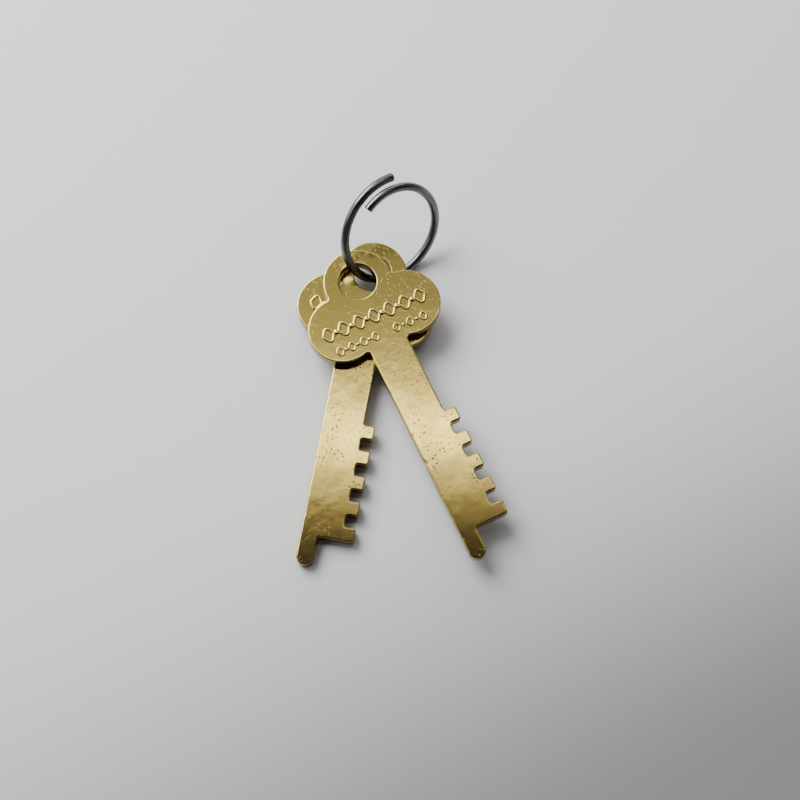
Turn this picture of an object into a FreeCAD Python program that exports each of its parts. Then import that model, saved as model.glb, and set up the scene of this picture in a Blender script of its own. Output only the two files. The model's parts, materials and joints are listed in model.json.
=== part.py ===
"""Two flat keys on a wire ring, lying on a table.

Millimetres, with +Z up. The set rests on Z = 0 and its origin is under the middle of its box. The keys
point towards -Y and the ring stands up at the +Y end.

Everything is first set out in the lower key's own frame: its hole's centre at the origin, its underside
at Z = 0, its blade along -Y and its teeth towards +X. The whole set is then tipped until the wire under
the bow and the end of the blade both touch the table.

The keys carry invented teeth: an even comb on a straight edge, with one width, one pitch and one height.
No cut goes into the blade.
"""
import FreeCAD, Part
import math
import os

from FreeCAD import Placement, Rotation, Vector

# Key plate
plate_thickness = 2.0
lobe_radius = 6.0
side_lobe_across = 6.0
side_lobe_along = 7.0
hole_radius = 3.25
blade_width = 7.0
blade_length = 48.0
nib_length = 5.0
nib_width = 3.0

# Even comb of teeth on the blade's straight edge, ending where the blade ends
tooth_count = 5
tooth_width = 2.5
gap_width = 2.0
tooth_height = 2.0

# Ring: one round wire, wound a little over one turn
wire_diameter = 1.5
ring_radius = 9.0
lap_spacing = 1.6
lap_offset = 1.2
inner_sweep = 90.0
outer_sweep = 135.0

# How the pieces lie together
plate_gap = 0.2
fan_angle = 35.0
lower_heading = -10.0
thread_run = 3.0
ring_lean = 35.0
rim_clearance = 0.7
crossing_across = -0.5
crossing_along = -1.0

UP = Vector(0, 0, 1)
ORIGIN = Vector(0, 0, 0)

wire_radius = wire_diameter / 2
half_turn = 180.0
key_reach = blade_length + nib_length
upper_level = plate_thickness + plate_gap
upper_middle = upper_level + plate_thickness / 2

# The wire climbs through both plates while it runs across by the thread run. It crosses the lower plate's
# middle at the crossing, and the upper plate's middle at the thread point, where the upper key hangs from it.
climb = math.atan((upper_level + plate_thickness) / thread_run)
climb_across = upper_level / math.tan(climb)
thread_point = Vector(crossing_across - climb_across, crossing_along, upper_middle)
hole_drop = hole_radius - wire_radius - rim_clearance
upper_hole = Vector(thread_point.x, thread_point.y - hole_drop, upper_level)

# Along the wire at the thread point, and from there to the ring's centre
lean = math.radians(ring_lean)
wire_along = Vector(-math.cos(climb), 0, math.sin(climb))
wire_side = Vector(math.sin(climb), 0, math.cos(climb))
ring_inward = Vector(0, 1, 0) * math.cos(lean) + wire_side * math.sin(lean)
ring_axis = wire_along.cross(ring_inward)

# Each half turn is tipped by this angle, so that the lapped ends lie side by side
lap_tip = math.asin(lap_offset / (4 * ring_radius))


def block(x_low, x_high, y_low, y_high):
    """A rectangular piece of plate."""
    corner = Vector(x_low, y_low, 0)
    return Part.makeBox(x_high - x_low, y_high - y_low, plate_thickness, corner)


def disc(radius, x, y):
    """A round piece of plate."""
    return Part.makeCylinder(radius, plate_thickness, Vector(x, y, 0))


def comb_teeth():
    """The equal teeth on the blade's straight edge, counted back from the end of the blade."""
    edge = blade_width / 2
    pitch = tooth_width + gap_width
    teeth = []
    for index in range(tooth_count):
        low = -blade_length + index * pitch
        teeth.append(block(0, edge + tooth_height, low, low + tooth_width))
    return teeth


def key_plate():
    """One stamped key: three lobes with a hole, a straight blade, an even comb and a round nib."""
    half = blade_width / 2
    nib_radius = nib_width / 2
    nib_round = -key_reach + nib_radius
    pieces = [
        disc(lobe_radius, -side_lobe_across, -side_lobe_along),
        disc(lobe_radius, side_lobe_across, -side_lobe_along),
        block(-half, half, -blade_length, 0),
        block(-half, -half + nib_width, nib_round, -blade_length),
        disc(nib_radius, -half + nib_radius, nib_round),
    ]
    plate = disc(lobe_radius, 0, 0).multiFuse(pieces + comb_teeth())
    return plate.cut(disc(hole_radius, 0, 0)).removeSplitter()


def wire_arc(start, along, inward, radius, sweep):
    """A round wire bent on one arc: it leaves start in the direction along, and bends towards inward."""
    profile = Part.Face(Part.Wire(Part.makeCircle(wire_radius, start, along)))
    centre = start + inward * radius
    return profile.revolve(centre, inward.cross(along) * -1, sweep)


def tipped(inward, turn):
    """The direction inward, turned by the lap's tip towards the ring's axis."""
    return inward * math.cos(lap_tip) + ring_axis * (turn * math.sin(lap_tip))


def ring_wire():
    """The ring: an outer arc up from the thread point, a half turn back from it, and the inner end."""
    step = lap_spacing / 2
    outer = wire_arc(thread_point, wire_along, tipped(ring_inward, 1), ring_radius + step, outer_sweep)
    middle_inward = tipped(ring_inward, -1)
    middle = wire_arc(thread_point, wire_along * -1, middle_inward, ring_radius, half_turn)
    far_side = thread_point + middle_inward * (2 * ring_radius)
    inner_inward = tipped(ring_inward * -1, -1)
    inner = wire_arc(far_side, wire_along, inner_inward, ring_radius - step, inner_sweep)
    return middle.multiFuse([outer, inner]).removeSplitter()


def lowest_wire(slope):
    """Height of the wire's lowest point when the set is tipped by slope about the end of the blade."""
    inward = tipped(ring_inward, -1)
    centre = thread_point + inward * ring_radius
    normal = wire_along.cross(inward)
    height = (centre.y + key_reach) * math.sin(slope) + centre.z * math.cos(slope)
    upright = normal.y * math.sin(slope) + normal.z * math.cos(slope)
    return height - ring_radius * math.sqrt(1 - upright ** 2) - wire_radius


def resting_slope():
    """The slope at which the wire just touches the table, found by halving."""
    low = math.radians(-20)
    high = math.radians(20)
    for _ in range(50):
        middle = (low + high) / 2
        if lowest_wire(middle) < 0:
            low = middle
        else:
            high = middle
    return math.degrees(high)


def resting_place():
    """Tips the set onto the table, then turns it to its heading."""
    blade_end = Vector(0, -key_reach, 0)
    tip = Placement(ORIGIN, Rotation(Vector(1, 0, 0), resting_slope()), blade_end)
    heading = Placement(ORIGIN, Rotation(UP, lower_heading), ORIGIN)
    return heading.multiply(tip)


def placed(shape, place):
    """A copy of the shape, moved by place."""
    moved = shape.copy()
    moved.transformShape(place.toMatrix())
    return moved


# How the upper key lies in the lower key's frame
fan_place = Placement(upper_hole, Rotation(UP, fan_angle))

key = key_plate()
set_out = {
    "key_lower": key,
    "key_upper": placed(key, fan_place),
    "key_ring": ring_wire(),
}

# Rest the set on the table, and bring the middle of its box over the origin
rest = resting_place()
box = Part.makeCompound([placed(shape, rest) for shape in set_out.values()]).optimalBoundingBox(False)
centring = Placement(Vector(-box.Center.x, -box.Center.y, -box.ZMin), Rotation())
world = centring.multiply(rest)

os.makedirs("parts", exist_ok=True)
solids = {}
for name, shape in set_out.items():
    solids[name] = placed(shape, world)
    solids[name].exportStep("parts/" + name + ".step")
    print(name, "valid", solids[name].isValid(), "solids", len(solids[name].Solids),
          "volume", round(solids[name].Volume, 2))
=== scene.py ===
"""Two flat brass keys on a wire ring, with generic teeth and a generic stamped border."""

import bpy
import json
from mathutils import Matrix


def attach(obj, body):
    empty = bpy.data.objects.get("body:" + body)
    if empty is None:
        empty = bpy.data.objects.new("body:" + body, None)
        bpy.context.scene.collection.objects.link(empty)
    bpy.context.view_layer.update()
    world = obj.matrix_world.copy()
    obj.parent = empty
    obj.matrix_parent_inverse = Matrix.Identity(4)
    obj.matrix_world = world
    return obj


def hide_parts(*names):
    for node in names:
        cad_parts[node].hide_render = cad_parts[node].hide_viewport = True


bl_info = {
    "name": "Flat Key Set",
    "version": (1, 0, 0),
    "blender": (4, 5, 0),
    "location": "View3D > Sidebar > Keys",
    "description": "Builds two flat brass keys on a wire ring around a packed model",
    "category": "Add Mesh",
}

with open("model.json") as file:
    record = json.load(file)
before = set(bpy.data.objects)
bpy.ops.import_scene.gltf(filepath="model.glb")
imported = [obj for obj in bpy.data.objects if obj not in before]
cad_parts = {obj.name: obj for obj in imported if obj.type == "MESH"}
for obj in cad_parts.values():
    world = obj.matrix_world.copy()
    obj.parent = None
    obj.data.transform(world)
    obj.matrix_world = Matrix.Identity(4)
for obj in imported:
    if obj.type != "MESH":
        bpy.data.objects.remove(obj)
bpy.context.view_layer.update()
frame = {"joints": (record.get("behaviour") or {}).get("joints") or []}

import json
import math

import bpy
import numpy as np
from bpy.props import FloatProperty, FloatVectorProperty, IntProperty, PointerProperty
from mathutils import Vector
from mathutils.geometry import tessellate_polygon

MM = 0.001
TAU = 2 * math.pi
MARK_RELIEF = 0.17 * MM
GRAIN_DEPTH = 0.006 * MM
WAVE_DEPTH = 0.018 * MM
# Where along the blade the brass is darkened towards the tips: painted shade in place of the tips' dark
# reflection.
TIP_PAINTED_SHADE_SPAN = (-32 * MM, -50 * MM)
DIE_LINE_GREY = (0.30, 0.30, 0.30, 1.0)
SPOT_BROWN = (0.13, 0.105, 0.085, 1.0)
JOINTS = {joint["name"]: joint for joint in frame["joints"]}


def length(label, words, default_mm):
    """A size that a user can change, kept in metres."""
    return FloatProperty(name=label, description=words, default=default_mm * MM, precision=5,
                         unit="LENGTH", subtype="DISTANCE")


def turn(label, words, default_degrees):
    """An angle that a user can change."""
    return FloatProperty(name=label, description=words, default=math.radians(default_degrees),
                         unit="ROTATION", subtype="ANGLE")


def colour(label, words, default):
    """A colour that a user can change."""
    return FloatVectorProperty(name=label, description=words, default=default, size=4,
                               min=0.0, max=1.0, subtype="COLOR")


class KeyPlateSizes(bpy.types.PropertyGroup):
    """The flat key, the same for both."""

    thickness: length("Thickness", "Thickness of the plate", 2.0)
    lobe_radius: length("Lobe radius", "Radius of each lobe of the bow", 6.0)
    side_across: length("Side lobe across", "From the hole to a side lobe, across the key", 6.0)
    side_along: length("Side lobe along", "From the hole to a side lobe, along the key", 7.0)
    hole_radius: length("Hole radius", "Radius of the hole for the ring", 3.25)
    blade_width: length("Blade width", "Width of the blade without its teeth", 7.0)
    blade_length: length("Blade length", "From the hole to the end of the last tooth", 48.0)
    nib_length: length("Nib length", "How far the nib passes the last tooth", 5.0)
    nib_width: length("Nib width", "Width of the nib", 3.0)
    tooth_count: IntProperty(name="Teeth", description="Number of equal teeth", default=5, min=1)
    tooth_width: length("Tooth width", "Width of each tooth", 2.5)
    gap_width: length("Gap width", "Width of each gap", 2.0)
    tooth_height: length("Tooth height", "How far the teeth pass the blade's edge", 2.0)
    cusp_round: length("Cusp round", "Radius where two lobes meet", 0.5)
    corner_round: length("Corner round", "Radius of an outside corner", 0.4)
    inside_round: length("Inside round", "Radius of an inside corner", 0.18)
    top_roll: length("Top roll", "Radius that the stamping rolls along the upper edge", 0.24)
    # Across this rim the lightening of the rolled edge fades out: partly rubbed brass, partly painted
    # highlight.
    rim_band: length("Rim band", "Width of the rubbed rim beside the rolled edge", 0.10)
    under_roll: length("Under roll", "Radius along the lower edge", 0.12)


class KeyRingSizes(bpy.types.PropertyGroup):
    """The wire ring, and how it passes through the keys."""

    wire_radius: length("Wire radius", "Radius of the round wire", 0.75)
    ring_radius: length("Ring radius", "Radius of the middle half turn", 9.0)
    lap_spacing: length("Lap spacing", "How far apart the lapped ends lie across the ring", 1.6)
    lap_offset: length("Lap offset", "How far apart the lapped ends lie along its axis", 1.2)
    inner_sweep: turn("Inner sweep", "Turn of the inner end's arc", 90.0)
    outer_sweep: turn("Outer sweep", "Turn of the outer end's arc", 135.0)
    lean: turn("Lean", "How far the ring leans about its wire", 35.0)
    end_round: length("End round", "Radius of the wire's cut ends", 0.12)


class KeySetPlaces(bpy.types.PropertyGroup):
    """How the pieces lie together."""

    gap: length("Gap", "Gap between the two plates", 0.2)
    crossing_across: length("Crossing across", "Where the wire crosses the lower plate", -0.5)
    crossing_along: length("Crossing along", "The same, along the key", -1.0)
    thread_run: length("Thread run", "How far across the wire runs inside both plates", 3.0)
    rim_clearance: length("Rim clearance", "From the wire to the rim that hangs on it", 0.7)
    heading: turn("Heading", "Heading of the lower key", -10.0)
    fan: turn("Fan", "Angle between the two keys", 35.0)


class KeySetColours(bpy.types.PropertyGroup):
    """The finishes' main colours."""

    brass_light: colour("Worn brass", "Brass where it is rubbed bright", (0.63, 0.49, 0.125, 1.0))
    brass_dark: colour("Tarnished brass", "Brass where it has browned", (0.36, 0.27, 0.075, 1.0))
    # Painted shade: this dark brass is mixed into the cut walls and towards the tips in place of their shade
    # and dark reflection.
    brass_painted_shade: colour("Dull brass", "Brass on the plate's cut edges", (0.20, 0.135, 0.05, 1.0))
    brass_pit: colour("Pits", "Dark specks in the brass", (0.09, 0.065, 0.035, 1.0))
    steel: colour("Steel", "Drawn wire", (0.06, 0.06, 0.063, 1.0))
    floor: colour("Floor", "Pale tabletop", (0.72, 0.72, 0.72, 1.0))


# Paths and surfaces


def arc(centre, radius, start, end, steps=24):
    """Points on a circle: the centre plus the radius times the cosine and sine of evenly spaced angles."""
    angle = np.linspace(start, end, steps)
    return np.stack([centre[0] + radius * np.cos(angle), centre[1] + radius * np.sin(angle)], 1)


def rounded(before, corner, after, radius, steps=9):
    """A corner replaced by an arc: its centre is on the corner's bisector, and it meets both sides."""
    before, corner, after = (np.array(p, float) for p in (before, corner, after))
    back = (before - corner) / np.linalg.norm(before - corner)
    on = (after - corner) / np.linalg.norm(after - corner)
    half = math.acos(float(np.clip(back @ on, -1, 1))) / 2
    bisector = (back + on) / np.linalg.norm(back + on)
    centre = corner + bisector * radius / math.sin(half)
    first = corner + back * radius / math.tan(half) - centre
    last = corner + on * radius / math.tan(half) - centre
    start = math.atan2(first[1], first[0])
    sweep = (math.atan2(last[1], last[0]) - start + math.pi) % TAU - math.pi
    return arc(centre, radius, start, start + sweep, steps)


def closely_spaced(path, spacing):
    """The closed path with more points: every old point stays, and new ones divide the long stretches."""
    closed = np.vstack([path, path[:1]])
    run = np.r_[0, np.cumsum(np.linalg.norm(np.diff(closed, axis=0), axis=1))]
    even = np.arange(0, run[-1], spacing)
    station = np.sort(np.r_[run[:-1], even])
    station = station[np.r_[True, np.diff(station) > spacing * 0.2]]
    return np.stack([np.interp(station, run, closed[:, axis]) for axis in range(2)], 1)


def inward(path):
    """Unit normals to the left of a closed path, from the line between each point's two neighbours."""
    along = np.roll(path, -1, 0) - np.roll(path, 1, 0)
    along /= np.linalg.norm(along, axis=1)[:, None]
    return np.stack([-along[:, 1], along[:, 0]], 1)


def bow_outline(size):
    """The bow's arcs, anticlockwise from the right neck to the left neck.

    Two lobes meet in a small arc whose centre is one lobe radius and one cusp radius from both lobes'
    centres. The neck's arc is that far from the side lobe and touches the blade's edge.
    """
    r, c = size.lobe_radius, size.cusp_round
    side = np.array([size.side_across, -size.side_along])
    reach = r + c
    half = np.linalg.norm(side) / 2
    along = side / np.linalg.norm(side)
    outward = np.array([-along[1], along[0]])
    cusp = side / 2 + outward * math.sqrt(reach ** 2 - half ** 2)
    neck_x = size.blade_width / 2 + c
    neck = np.array([neck_x, side[1] - math.sqrt(reach ** 2 - (neck_x - side[0]) ** 2)])

    def heading(start, end):
        return math.atan2(end[1] - start[1], end[0] - start[0])

    right = [
        arc(neck, c, math.pi, heading(neck, side), 8),
        arc(side, r, heading(side, neck), heading(side, cusp), 64),
        arc(cusp, c, heading(cusp, side) % TAU, heading(cusp, np.zeros(2)) % TAU, 8),
    ]
    right = np.vstack(right)
    start = heading(np.zeros(2), cusp)
    top = arc((0, 0), r, start, math.pi - start, 64)
    left = right[::-1] * np.array([-1, 1])
    return np.vstack([right, top[1:-1], left])


def blade_corners(size):
    """The blade's corners, anticlockwise from the left neck, each with its radius."""
    half = size.blade_width / 2
    end, tip = -size.blade_length, half + size.tooth_height
    nib, nib_end = size.nib_width, end - size.nib_length
    out, inside = size.corner_round, size.inside_round
    corners = [
        ((-half, nib_end), nib * 0.499),
        ((-half + nib, nib_end), nib * 0.499),
        ((-half + nib, end), inside),
        ((tip, end), out),
    ]
    pitch = size.tooth_width + size.gap_width
    for index in range(size.tooth_count - 1):
        low = end + size.tooth_width + index * pitch
        corners += [((tip, low), out), ((half, low), inside)]
        corners += [((half, low + size.gap_width), inside), ((tip, low + size.gap_width), out)]
    top = end + size.tooth_width + (size.tooth_count - 1) * pitch
    return corners + [((tip, top), out), ((half, top), inside)]


def key_outline(size):
    """The whole outline of a key, anticlockwise and closely spaced."""
    bow = bow_outline(size)
    corners = blade_corners(size)
    places = [bow[-1]] + [place for place, radius in corners] + [bow[0]]
    bends = [rounded(places[i], place, places[i + 2], radius)
             for i, (place, radius) in enumerate(corners)]
    return closely_spaced(np.vstack([bow] + bends), 0.25 * MM)


def worn(path, seed, nicks=()):
    """The path pushed in by slow seeded waves of under 0.03 mm, and by a few small round dents.

    The dents are on the blade's back edge.
    """
    rng = np.random.default_rng(seed)
    run = np.r_[0, np.cumsum(np.linalg.norm(np.diff(path, axis=0), axis=1))]
    phase = TAU * run / (run[-1] + np.linalg.norm(path[0] - path[-1]))
    push = np.full(len(path), 0.010 * MM)
    for waves in rng.integers(20, 160, 7):
        push += 0.0012 * MM * (1 + np.sin(waves * phase + rng.uniform(0, TAU)))
    back = path[:, 0] < 0
    for along, depth, width in nicks:
        away = (path[:, 1] - along * MM) / (width * MM)
        push += back * depth * MM * np.exp(-away ** 2)
    return path + inward(path) * push[:, None]


def edge_profile(size):
    """The rolled edge as insets, heights, and a value for rubbing and painted light.

    It is a quarter round below, a wall, and a quarter round and a rim above.
    The last value runs from -1 on the wall, where it darkens the brass as painted shade, to 1 at the top of
    the upper quarter round, where it lightens it as rubbed brass and painted highlight, and fades across the
    rim, which lies in the top face.
    """
    low, high, thick = size.under_roll, size.top_roll, size.thickness
    below = np.linspace(0, math.pi / 2, 6)
    above = np.linspace(0, math.pi / 2, 10)
    inset = np.r_[low * (1 - np.sin(below)), high * (1 - np.cos(above)), high + size.rim_band]
    height = np.r_[low * (1 - np.cos(below)), thick - high * (1 - np.sin(above)), thick]
    # The value is -1 on the lower round and the wall, for painted shade, and rises to 1 on the upper round,
    # for rubbed brass and painted highlight.
    wear = np.r_[-np.ones(len(below)), np.linspace(-1, 1, len(above)), 0]
    return inset, height, wear


def grid_faces(rows, columns, start=0, close_rows=False):
    """Quads of a grid of vertices whose columns close on themselves, and whose rows may too."""
    row = np.arange(rows if close_rows else rows - 1)[:, None]
    column = np.arange(columns)[None, :]
    on_row, on_column = (row + 1) % rows, (column + 1) % columns
    quads = [row * columns + column, row * columns + on_column,
             on_row * columns + on_column, on_row * columns + column]
    return np.stack([q.ravel() for q in np.broadcast_arrays(*quads)], 1) + start


def pole_faces(rows, columns):
    """Triangles from a grid's first row to the point after the grid, and from its last row to the next."""
    column = np.arange(columns)
    on = (column + 1) % columns
    first, last = rows * columns, (rows - 1) * columns
    low = np.stack([np.full(columns, first), on, column], 1)
    high = np.stack([np.full(columns, first + 1), last + column, last + on], 1)
    return np.vstack([low, high])


def carried_edge(path, size):
    """The edge profile carried along a closed path: each point moves in by the inset and up by the height."""
    inset, height = edge_profile(size)[:2]
    flat = path[None] + inward(path)[None] * inset[:, None, None]
    level = np.broadcast_to(height[:, None, None], flat.shape[:2] + (1,))
    return np.concatenate([flat, level], 2)


def key_surface(size, seed, nicks):
    """A key as one closed surface: the edge carried round the outline and round the hole, and two flat faces.

    Gives the points, the smooth faces, the flat faces, and each point's place across the edge, which sets the
    painted shade on the walls and the rubbed, partly painted lightening of the rims.
    """
    outline = worn(key_outline(size), seed, nicks)
    hole = arc((0, 0), size.hole_radius, TAU, 0, 129)[:-1]
    loops = [carried_edge(outline, size), carried_edge(hole, size)]
    rows = loops[0].shape[0]
    points = np.vstack([loop.reshape(-1, 3) for loop in loops])
    starts = [0, rows * len(outline)]
    smooth = np.vstack([grid_faces(rows, loop.shape[1], start) for loop, start in zip(loops, starts)])
    flat = []
    for row, flip in ((0, True), (rows - 1, False)):
        number = [np.arange(loop.shape[1]) + start + row * loop.shape[1]
                  for loop, start in zip(loops, starts)]
        fill = tessellate_polygon([[Vector(p) for p in points[n]] for n in number])
        faces = np.concatenate(number)[np.array(fill)]
        corner = points[faces]
        up = np.cross(corner[:, 1] - corner[:, 0], corner[:, 2] - corner[:, 0])[:, 2] > 0
        wrong = up == flip
        faces[wrong] = faces[wrong][:, ::-1]
        flat.append(faces)
    wear = edge_profile(size)[2]
    return points, smooth, np.vstack(flat), np.concatenate([np.repeat(wear, loop.shape[1]) for loop in loops])


def lozenge(centre, width, height, stroke, relief):
    """A raised lozenge frame: a flat oval carried round four rounded corners."""
    x, y = centre
    corner = [(x + width / 2, y), (x, y + height / 2), (x - width / 2, y), (x, y - height / 2)]
    bends = [rounded(corner[i - 1], corner[i], corner[(i + 1) % 4], stroke * 0.9) for i in range(4)]
    path = np.vstack(bends)
    across = inward(path)
    around = np.linspace(0, TAU, 12, endpoint=False)
    flat = path[:, None] + across[:, None] * (np.cos(around) * stroke / 2)[None, :, None]
    level = np.broadcast_to((np.sin(around) * relief)[None, :, None], flat.shape[:2] + (1,))
    points = np.concatenate([flat, level], 2).reshape(-1, 3)
    return points, grid_faces(len(path), len(around), close_rows=True), np.zeros((0, 3), int)


def bead(centre, radius, relief):
    """A raised bead: a flattened ball, by its angle round and its angle up, with one point at each pole."""
    up = np.linspace(-math.pi / 2, math.pi / 2, 11)[1:-1]
    around = np.linspace(0, TAU, 20, endpoint=False)
    ring = np.cos(up)[:, None] * radius
    size = (len(up), len(around))
    level = np.broadcast_to(np.sin(up)[:, None] * relief, size)
    grid = np.stack([centre[0] + ring * np.cos(around), centre[1] + ring * np.sin(around), level], 2)
    poles = np.array([[*centre, -relief], [*centre, relief]])
    return np.vstack([grid.reshape(-1, 3), poles]), grid_faces(*size), pole_faces(*size)


def border_marks(size):
    """The stamped border: rows of lozenges with beads between them, symmetric shapes and no letters.

    Each row is its place along the key, its two ends across it, its lozenges, their height and their stroke.
    """
    rows = [
        (-7.0, -8.6, 8.6, 7, 3.3, 0.56),
        (-10.6, -8.0, -1.4, 4, 2.1, 0.44),
        (-10.6, 2.6, 7.6, 3, 2.1, 0.44),
    ]
    points, quads, corners, count = [], [], [], 0
    for along, left, right, number, height, stroke in rows:
        places = np.linspace(left, right, 2 * number - 1)
        for index, across in enumerate(places):
            centre = (across * MM, along * MM)
            if index % 2 == 0:
                made = lozenge(centre, height * 0.62 * MM, height * MM, stroke * MM, MARK_RELIEF)
            else:
                made = bead(centre, height * 0.16 * MM, MARK_RELIEF)
            points.append(made[0] + [0, 0, size.thickness])
            quads.append(made[1] + count)
            corners.append(made[2] + count)
            count += len(made[0])
    return np.vstack(points), np.vstack(quads), np.vstack(corners)


# Where the pieces lie


def plate_axes(places):
    """The lower key's axes: across from its heading, up from the fan joint's axis, along from both."""
    up = np.array(JOINTS["upper_key_fan"]["axis"], float)
    up /= np.linalg.norm(up)
    across = np.array([math.cos(places.heading), math.sin(places.heading), 0.0])
    return np.stack([across, np.cross(up, across), up], 1)


def turned(axes, angle):
    """Axes turned about their third one."""
    c, s = math.cos(angle), math.sin(angle)
    return axes @ np.array([[c, -s, 0], [s, c, 0], [0, 0, 1]])


def key_places(scene):
    """Each key's axes and its hole's centre: the fan joint gives the upper one, and the lower one follows."""
    places, size, ring = scene.key_set_places, scene.key_set_plate, scene.key_set_ring
    axes = plate_axes(places)
    level = size.thickness + places.gap
    climb_across = level * places.thread_run / (level + size.thickness)
    hole_drop = size.hole_radius - ring.wire_radius - places.rim_clearance
    offset = np.array([places.crossing_across - climb_across, places.crossing_along - hole_drop, level])
    upper = np.array(JOINTS["upper_key_fan"]["pos_m"], float)
    return {"key_lower": (axes, upper - axes @ offset), "key_upper": (turned(axes, places.fan), upper)}


def wire_bend(start, along, inward, radius, sweep, steps):
    """One arc of the wire, with its directions and the ways to its centre.

    From the start, the radius times the sine goes along, and the radius times one less the cosine inward.
    """
    angle = np.linspace(0, sweep, steps)[:, None]
    sine, cosine = np.sin(angle), np.cos(angle)
    points = start + radius * ((1 - cosine) * inward + sine * along)
    return points, along * cosine + inward * sine, inward * cosine - along * sine


def wire_path(scene):
    """The wire's line from its inner end to its outer end: points, directions, and the way to the middle.

    It is three arcs. Each is tipped about the wire by the same small angle, so that a whole turn moves
    along the ring's axis by the lap's offset.
    """
    ring, places, size = scene.key_set_ring, scene.key_set_places, scene.key_set_plate
    axes = plate_axes(places)
    climb = math.atan((2 * size.thickness + places.gap) / places.thread_run)
    along = axes @ np.array([-math.cos(climb), 0, math.sin(climb)])
    side = axes @ np.array([math.sin(climb), 0, math.cos(climb)])
    middle = axes[:, 1] * math.cos(ring.lean) + side * math.sin(ring.lean)
    axis = np.cross(along, middle)
    tip = math.asin(ring.lap_offset / (4 * ring.ring_radius))
    thread = np.array(JOINTS["ring_swing"]["pos_m"], float)
    step, radius = ring.lap_spacing / 2, ring.ring_radius
    ahead = middle * math.cos(tip) + axis * math.sin(tip)
    back = middle * math.cos(tip) - axis * math.sin(tip)
    beyond = -middle * math.cos(tip) - axis * math.sin(tip)
    far_side = thread + back * 2 * radius
    outer = wire_bend(thread, along, ahead, radius + step, ring.outer_sweep, 110)
    half = wire_bend(thread, -along, back, radius, math.pi, 140)
    inner = wire_bend(far_side, along, beyond, radius - step, ring.inner_sweep, 80)
    points = np.vstack([inner[0][::-1], half[0][::-1][1:], outer[0][1:]])
    ways = np.vstack([-inner[1][::-1], -half[1][::-1][1:], outer[1][1:]])
    inwards = np.vstack([inner[2][::-1], half[2][::-1][1:], outer[2][1:]])
    return points, ways, inwards


def wire_surface(scene):
    """The round wire: a circle carried along its path, smaller towards each cut end to round it.

    Also gives the same surface unrolled, as a straight wire along Z, for the drawing lines.
    """
    ring = scene.key_set_ring
    points, ways, inwards = wire_path(scene)
    run = np.r_[0, np.cumsum(np.linalg.norm(np.diff(points, axis=0), axis=1))]
    bend = np.linspace(0, math.pi / 2, 6)
    start = ring.end_round * (1 - np.cos(bend))
    even = np.linspace(ring.end_round * 1.6, run[-1] - ring.end_round * 1.6, 330)
    station = np.r_[start, even, run[-1] - start[::-1]]
    radius = np.full(len(station), ring.wire_radius)
    radius[:6] -= ring.end_round * (1 - np.sin(bend))
    radius[-6:] = radius[:6][::-1]
    line, way, across = (np.stack([np.interp(station, run, a[:, i]) for i in range(3)], 1)
                         for a in (points, ways, inwards))
    columns = 40
    around = np.linspace(0, TAU, columns, endpoint=False)
    flat = np.stack([radius[:, None] * np.cos(around), radius[:, None] * np.sin(around)], 2)
    other = np.cross(way, across)
    grid = line[:, None] + flat[..., :1] * across[:, None] + flat[..., 1:] * other[:, None]
    level = np.broadcast_to(station[:, None, None], flat.shape[:2] + (1,))
    straight = np.concatenate([flat, level], 2).reshape(-1, 3)
    ends = np.array([[0, 0, 0], [0, 0, run[-1]]])
    solid = np.vstack([grid.reshape(-1, 3), line[:1], line[-1:]])
    rows = len(station)
    return solid, grid_faces(rows, columns), pole_faces(rows, columns), np.vstack([straight, ends])


# Finishes


def new_material(name):
    """An empty node material and its tree."""
    material = bpy.data.materials.new(name)
    material.use_nodes = True
    material.node_tree.nodes.clear()
    return material, material.node_tree


def add(tree, kind, **values):
    """A node with its settings and its unlinked inputs; an input's value may be another node's socket."""
    made = tree.nodes.new(kind)
    for key, value in values.items():
        name = key.replace("_", " ")
        if name in made.inputs:
            if isinstance(value, bpy.types.NodeSocket):
                tree.links.new(value, made.inputs[name])
            else:
                made.inputs[name].default_value = value
        else:
            setattr(made, key, value)
    return made


def mix(tree, factor, first, second):
    """Two colours mixed by a factor; each may be a colour or another node's socket."""
    made = tree.nodes.new("ShaderNodeMix")
    made.data_type = "RGBA"
    for number, value in ((0, factor), (6, first), (7, second)):
        if isinstance(value, bpy.types.NodeSocket):
            tree.links.new(value, made.inputs[number])
        else:
            made.inputs[number].default_value = value
    return made.outputs[2]


def span(tree, value, low, high, to_low=0.0, to_high=1.0):
    """A value stretched from one span onto another, and held inside it."""
    made = add(tree, "ShaderNodeMapRange", Value=value, From_Min=low, From_Max=high,
               To_Min=to_low, To_Max=to_high)
    return made.outputs[0]


def noise(tree, where, scale, detail=2.0, roughness=0.5):
    """Cloudy noise from 0 to 1, at a scale in features per metre."""
    made = add(tree, "ShaderNodeTexNoise", Vector=where, Scale=scale, Detail=detail, Roughness=roughness)
    return made.outputs["Fac"]


def mapped(tree, where, angle, stretch, move=(0, 0, 0)):
    """Coordinates turned about Z, then stretched."""
    turned_space = add(tree, "ShaderNodeMapping", Vector=where, Location=move, Rotation=(0, 0, angle))
    return add(tree, "ShaderNodeMapping", Vector=turned_space.outputs[0], Scale=stretch).outputs[0]


def times(tree, *values):
    """The product of several values."""
    result = values[0]
    for value in values[1:]:
        made = tree.nodes.new("ShaderNodeMath")
        made.operation = "MULTIPLY"
        for number, term in enumerate((result, value)):
            if isinstance(term, bpy.types.NodeSocket):
                tree.links.new(term, made.inputs[number])
            else:
                made.inputs[number].default_value = term
        result = made.outputs[0]
    return result


def plus(tree, *values):
    """The sum of several values."""
    result = values[0]
    for value in values[1:]:
        made = tree.nodes.new("ShaderNodeMath")
        tree.links.new(result, made.inputs[0])
        tree.links.new(value, made.inputs[1])
        result = made.outputs[0]
    return result


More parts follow.
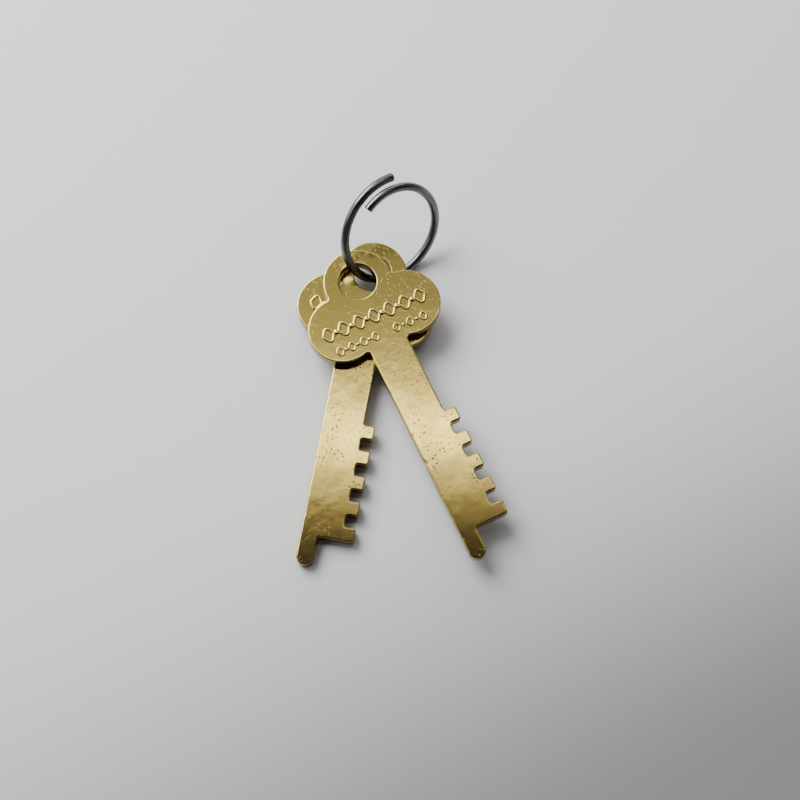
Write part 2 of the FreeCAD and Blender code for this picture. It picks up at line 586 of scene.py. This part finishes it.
def metal(tree, base, rough, grain, waves=None):
    """A metal surface from its colour, its roughness, its fine grain and, where it has them, slow waves."""
    bump = add(tree, "ShaderNodeBump", Height=grain, Strength=1.0, Distance=GRAIN_DEPTH)
    if waves is not None:
        wave = add(tree, "ShaderNodeBump", Height=waves, Strength=1.0, Distance=WAVE_DEPTH)
        tree.links.new(wave.outputs[0], bump.inputs["Normal"])
    shader = tree.nodes.new("ShaderNodeBsdfPrincipled")
    shader.inputs["Metallic"].default_value = 1.0
    tree.links.new(base, shader.inputs["Base Color"])
    tree.links.new(rough, shader.inputs["Roughness"])
    tree.links.new(bump.outputs[0], shader.inputs["Normal"])
    output = tree.nodes.new("ShaderNodeOutputMaterial")
    tree.links.new(shader.outputs[0], output.inputs[0])


def worn_brass(scene, name, angle, origin):
    """Rolled brass: fine lines, scratches, browned clouds, dark pits, painted shade darkening the tips and
    the walls, and rims lightened partly as rubbed brass and partly as a painted highlight.

    The key's own axes come from its angle and its hole's centre, so both keys get the same wear and the same
    painted shade along the blade.
    """
    colours = scene.key_set_colours
    material, tree = new_material(name)
    here = add(tree, "ShaderNodeTexCoord").outputs["Object"]
    local = add(tree, "ShaderNodeVectorMath", operation="SUBTRACT")
    tree.links.new(here, local.inputs[0])
    local.inputs[1].default_value = origin
    space = mapped(tree, local.outputs[0], -angle, (1, 1, 1))
    clouds = noise(tree, space, 90.0, 3.0, 0.5)
    mottle = noise(tree, space, 1300.0, 6.0, 0.7)
    lines = noise(tree, mapped(tree, space, 0.0, (1.0, 0.03, 1.0)), 9000.0, 2.0)
    slant = noise(tree, mapped(tree, space, 0.95, (1.0, 0.03, 1.0), (0.1, 0.2, 0)), 5200.0, 2.0)
    one_way = mapped(tree, space, 0.62, (1.0, 0.02, 1.0))
    other_way = mapped(tree, space, -0.95, (1.0, 0.016, 1.0), (0.3, 0.1, 0))
    scratch_a = span(tree, noise(tree, one_way, 6000.0, 1.0), 0.66, 0.74)
    scratch_b = span(tree, noise(tree, other_way, 5000.0, 1.0), 0.68, 0.75)
    pits = add(tree, "ShaderNodeTexVoronoi", Vector=space, Scale=1500.0).outputs["Distance"]
    where_pitted = span(tree, noise(tree, space, 200.0, 3.0), 0.47, 0.60)
    pit = times(tree, span(tree, pits, 0.27, 0.15), where_pitted)
    edge = add(tree, "ShaderNodeAttribute", attribute_name="edge").outputs["Fac"]
    tarnish = span(tree, plus(tree, clouds, times(tree, mottle, 0.35)), 0.50, 1.0)
    base = mix(tree, tarnish, colours.brass_light, colours.brass_dark)
    base = mix(tree, times(tree, span(tree, mottle, 0.54, 0.70), 0.45), base, colours.brass_dark)
    # Painted shade: towards the tips the brass is darkened in place of a dark reflection.
    along = add(tree, "ShaderNodeSeparateXYZ", Vector=space).outputs["Y"]
    base = mix(tree, times(tree, span(tree, along, *TIP_PAINTED_SHADE_SPAN), 0.75), base, colours.brass_painted_shade)
    base = mix(tree, times(tree, pit, 0.9), base, colours.brass_pit)
    # Rubbed brass and painted highlight: where the edge value is above zero, on the upper round and the rim,
    # the brass is lightened.
    base = mix(tree, times(tree, span(tree, edge, 0.0, 1.0), 0.6), base, colours.brass_light)
    # Painted shade: where the edge value is below zero, on the lower round and the wall, the brass is
    # darkened.
    base = mix(tree, times(tree, span(tree, edge, 0.0, -1.0), 0.8), base, colours.brass_painted_shade)
    rough = plus(tree, span(tree, clouds, 0.3, 0.7, 0.10, 0.15), times(tree, mottle, 0.06),
                 times(tree, pit, 0.3))
    relief = plus(tree, times(tree, lines, 0.22), times(tree, slant, 0.22), times(tree, scratch_a, -0.28),
                  times(tree, scratch_b, -0.22), times(tree, pit, -1.5))
    metal(tree, base, rough, relief, noise(tree, space, 320.0, 2.0))
    return material


def drawn_steel(scene, name):
    """Drawn wire: dark steel with long lighter die lines and faint brown spots."""
    colours = scene.key_set_colours
    material, tree = new_material(name)
    straight = add(tree, "ShaderNodeAttribute", attribute_name="straight").outputs["Vector"]
    lines = noise(tree, mapped(tree, straight, 0.0, (1.0, 1.0, 0.02)), 9000.0, 3.0)
    spots = noise(tree, straight, 1100.0, 3.0)
    base = mix(tree, span(tree, lines, 0.35, 0.7), colours.steel, DIE_LINE_GREY)
    base = mix(tree, times(tree, span(tree, spots, 0.62, 0.78), 0.5), base, SPOT_BROWN)
    rough = plus(tree, span(tree, lines, 0.3, 0.7, 0.16, 0.28), times(tree, spots, 0.12))
    metal(tree, base, rough, plus(tree, lines, times(tree, spots, 0.4)))
    return material


def tabletop(scene):
    """Pale matt tabletop, with very faint clouds and a painted shadow that slowly darkens it towards the near
    right corner.
    """
    material, tree = new_material("tabletop")
    here = add(tree, "ShaderNodeTexCoord").outputs["Object"]
    clouds = noise(tree, here, 6.0, 2.0)
    # Painted shadow: the tabletop's colour is darkened towards the near right corner in place of a large soft
    # cast shadow.
    across = add(tree, "ShaderNodeVectorMath", operation="DOT_PRODUCT")
    tree.links.new(here, across.inputs[0])
    across.inputs[1].default_value = (0.45, -0.9, 0.0)
    painted_shadow_ramp = add(tree, "ShaderNodeMapRange", interpolation_type="SMOOTHSTEP", Value=across.outputs["Value"],
                From_Min=0.004, From_Max=0.085).outputs[0]
    tone = scene.key_set_colours.floor
    lighter = tuple(min(1.0, part * 1.03) for part in tone[:3]) + (1.0,)
    painted_shadow_tone = tuple(part * 0.34 for part in tone[:3]) + (1.0,)
    shader = add(tree, "ShaderNodeBsdfPrincipled", Roughness=0.62)
    base = mix(tree, painted_shadow_ramp, mix(tree, clouds, tone, lighter), painted_shadow_tone)
    tree.links.new(base, shader.inputs["Base Color"])
    tree.links.new(shader.outputs[0], add(tree, "ShaderNodeOutputMaterial").inputs[0])
    return material


# Pieces


def signed_volume(points, faces):
    """Six times the volume that the faces close: positive when they face outwards."""
    first, second, third = (points[faces[:, i]] for i in range(3))
    volume = np.einsum("ij,ij->i", first, np.cross(second, third)).sum()
    if faces.shape[1] == 4:
        fourth = points[faces[:, 3]]
        volume += np.einsum("ij,ij->i", first, np.cross(third, fourth)).sum()
    return volume


def make_piece(name, points, quads, corners, material, flat_corners=False):
    """A mesh object from its points and faces, facing outwards, in place and with its finish."""
    points = np.asarray(points, float)
    middle = points - points.mean(0)
    total = sum(signed_volume(middle, f) for f in (quads, corners) if len(f))
    if total < 0:
        quads, corners = quads[:, ::-1], corners[:, ::-1]
    mesh = bpy.data.meshes.new(name)
    mesh.from_pydata(points.tolist(), [], quads.tolist() + corners.tolist())
    smooth = np.ones(len(mesh.polygons), bool)
    if flat_corners:
        smooth[len(quads):] = False
    mesh.polygons.foreach_set("use_smooth", smooth)
    mesh.materials.append(material)
    mesh.update()
    piece = bpy.data.objects.new(name, mesh)
    bpy.context.scene.collection.objects.link(piece)
    return piece


def give_attribute(piece, name, kind, values):
    """Stores one value for each point of a piece."""
    attribute = piece.data.attributes.new(name, kind, "POINT")
    field = "value" if kind == "FLOAT" else "vector"
    attribute.data.foreach_set(field, np.asarray(values, np.float32).ravel())


class KEYS_OT_flat_keys(bpy.types.Operator):
    """Make both keys, each with its rolled edge and its stamped border"""

    bl_idname = "key_set.flat_keys"
    bl_label = "Flat Keys"

    def execute(self, context):
        scene = context.scene
        size = scene.key_set_plate
        bodies = {"key_lower": "lower_key", "key_upper": "upper_key"}
        wear = {
            "key_lower": (11, ((-24.0, 0.08, 0.5), (-44.5, 0.11, 0.4))),
            "key_upper": (29, ((-21.0, 0.06, 0.4), (-34.5, 0.18, 0.5), (-45.0, 0.10, 0.35))),
        }
        for node, (axes, hole) in key_places(scene).items():
            angle = math.atan2(axes[1, 0], axes[0, 0])
            brass = worn_brass(scene, node + "_brass", angle, tuple(hole))
            seed, nicks = wear[node]
            points, quads, corners, edge = key_surface(size, seed, nicks)
            plate = make_piece(node + "_plate", points @ axes.T + hole, quads, corners, brass, True)
            give_attribute(plate, "edge", "FLOAT", edge)
            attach(plate, bodies[node])
            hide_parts(node)
            points, quads, corners = border_marks(size)
            marks = make_piece(node + "_border", points @ axes.T + hole, quads, corners, brass)
            # The raised marks are lightened as the rims are: partly rubbed brass, partly painted highlight.
            give_attribute(marks, "edge", "FLOAT", np.full(len(points), 0.55))
            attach(marks, bodies[node])
        return {"FINISHED"}


class KEYS_OT_wire_ring(bpy.types.Operator):
    """Make the ring of round wire with its two lapped ends"""

    bl_idname = "key_set.wire_ring"
    bl_label = "Wire Ring"

    def execute(self, context):
        scene = context.scene
        points, quads, corners, straight = wire_surface(scene)
        ring = make_piece("ring_wire", points, quads, corners, drawn_steel(scene, "ring_steel"))
        give_attribute(ring, "straight", "FLOAT_VECTOR", straight)
        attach(ring, "ring")
        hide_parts("key_ring")
        return {"FINISHED"}


def soft_light(name, where, aim, width, depth, watts, tint=(1, 1, 1)):
    """A rectangular studio light that faces a point."""
    light = bpy.data.lights.new(name, "AREA")
    light.shape = "RECTANGLE"
    light.size, light.size_y, light.energy, light.color = width, depth, watts, tint
    lamp = bpy.data.objects.new(name, light)
    lamp.location = where
    lamp.rotation_euler = (Vector(aim) - Vector(where)).to_track_quat("-Z", "Y").to_euler()
    bpy.context.scene.collection.objects.link(lamp)
    return lamp


def flat_card(name, centre, width, depth, material):
    """A flat rectangle that is part of the studio."""
    x, y, z = centre
    w, d = width / 2, depth / 2
    mesh = bpy.data.meshes.new(name)
    corners = [(x - w, y - d, z), (x + w, y - d, z), (x + w, y + d, z), (x - w, y + d, z)]
    mesh.from_pydata(corners, [], [(0, 1, 2, 3)])
    mesh.materials.append(material)
    card = bpy.data.objects.new(name, mesh)
    bpy.context.scene.collection.objects.link(card)
    return card


def plain_black(name):
    """A matt black studio card."""
    material, tree = new_material(name)
    shader = add(tree, "ShaderNodeBsdfDiffuse", Color=(0.02, 0.018, 0.015, 1.0))
    tree.links.new(shader.outputs[0], add(tree, "ShaderNodeOutputMaterial").inputs[0])
    return material


class KEYS_OT_stage(bpy.types.Operator):
    """Make the tabletop, the dark card, the studio lights and the camera"""

    bl_idname = "key_set.stage"
    bl_label = "Studio"

    def execute(self, context):
        scene = context.scene
        flat_card("tabletop", (0, 0, -0.00002), 6.0, 6.0, tabletop(scene))
        flat_card("near_card", (0.10, -0.123, 0.30), 0.40, 0.358, plain_black("card_black"))
        soft_light("key_strip", (0.0, 0.145, 0.60), (0, 0.145, 0), 0.9, 0.045, 0.85, (1.0, 0.99, 0.97))
        soft_light("bow_panel", (0.0, 0.320, 0.60), (0, 0.320, 0), 0.9, 0.27, 0.19)
        soft_light("near_window", (-0.30, 0.32, 0.42), (0, 0, 0), 0.40, 0.40, 5.8, (0.98, 0.99, 1.0))
        soft_light("back_box", (0.0, 0.9, 0.5), (0, 0, 0), 1.3, 0.6, 4.8)
        soft_light("left_fill", (-0.8, 0.05, 0.5), (0, 0, 0), 0.8, 0.6, 3.0)
        world = bpy.data.worlds.new("pale_room")
        world.use_nodes = True
        world.node_tree.nodes["Background"].inputs["Color"].default_value = (0.9, 0.9, 0.9, 1)
        world.node_tree.nodes["Background"].inputs["Strength"].default_value = 0.14
        scene.world = world
        camera = bpy.data.cameras.new("camera")
        camera.sensor_width, camera.lens = 36.0, 75.0
        camera.clip_start, camera.clip_end = 0.01, 20.0
        eye = bpy.data.objects.new("camera", camera)
        aim = Vector((0.0, -0.0025, 0.0))
        elevation, distance = math.radians(69.0), 0.287
        eye.location = aim + Vector((0, -math.cos(elevation), math.sin(elevation))) * distance
        eye.rotation_euler = (aim - eye.location).to_track_quat("-Z", "Y").to_euler()
        scene.collection.objects.link(eye)
        scene.camera = eye
        return {"FINISHED"}


class KEYS_PT_panel(bpy.types.Panel):
    """Lists what the add-on makes, and the sizes and colours that it uses"""

    bl_idname = "KEYS_PT_panel"
    bl_label = "Flat Key Set"
    bl_space_type = "VIEW_3D"
    bl_region_type = "UI"
    bl_category = "Keys"

    def draw(self, context):
        for made in OPERATORS:
            self.layout.operator(made.bl_idname)
        for field, group in GROUPS.items():
            box = self.layout.box()
            settings = getattr(context.scene, field)
            for name in group.__annotations__:
                box.prop(settings, name)


OPERATORS = (KEYS_OT_stage, KEYS_OT_flat_keys, KEYS_OT_wire_ring)
GROUPS = {
    "key_set_plate": KeyPlateSizes,
    "key_set_ring": KeyRingSizes,
    "key_set_places": KeySetPlaces,
    "key_set_colours": KeySetColours,
}


def register():
    """Registers the classes and hangs the settings on the scene."""
    for made in (*GROUPS.values(), *OPERATORS, KEYS_PT_panel):
        bpy.utils.register_class(made)
    for field, group in GROUPS.items():
        setattr(bpy.types.Scene, field, PointerProperty(type=group))


def unregister():
    """Takes the settings and the classes away again."""
    for field in GROUPS:
        delattr(bpy.types.Scene, field)
    for made in (KEYS_PT_panel, *reversed(OPERATORS), *GROUPS.values()):
        bpy.utils.unregister_class(made)


def main():
    """Builds the whole set."""
    register()
    bpy.ops.key_set.stage()
    bpy.ops.key_set.flat_keys()
    bpy.ops.key_set.wire_ring()


if __name__ == "__main__":
    main()
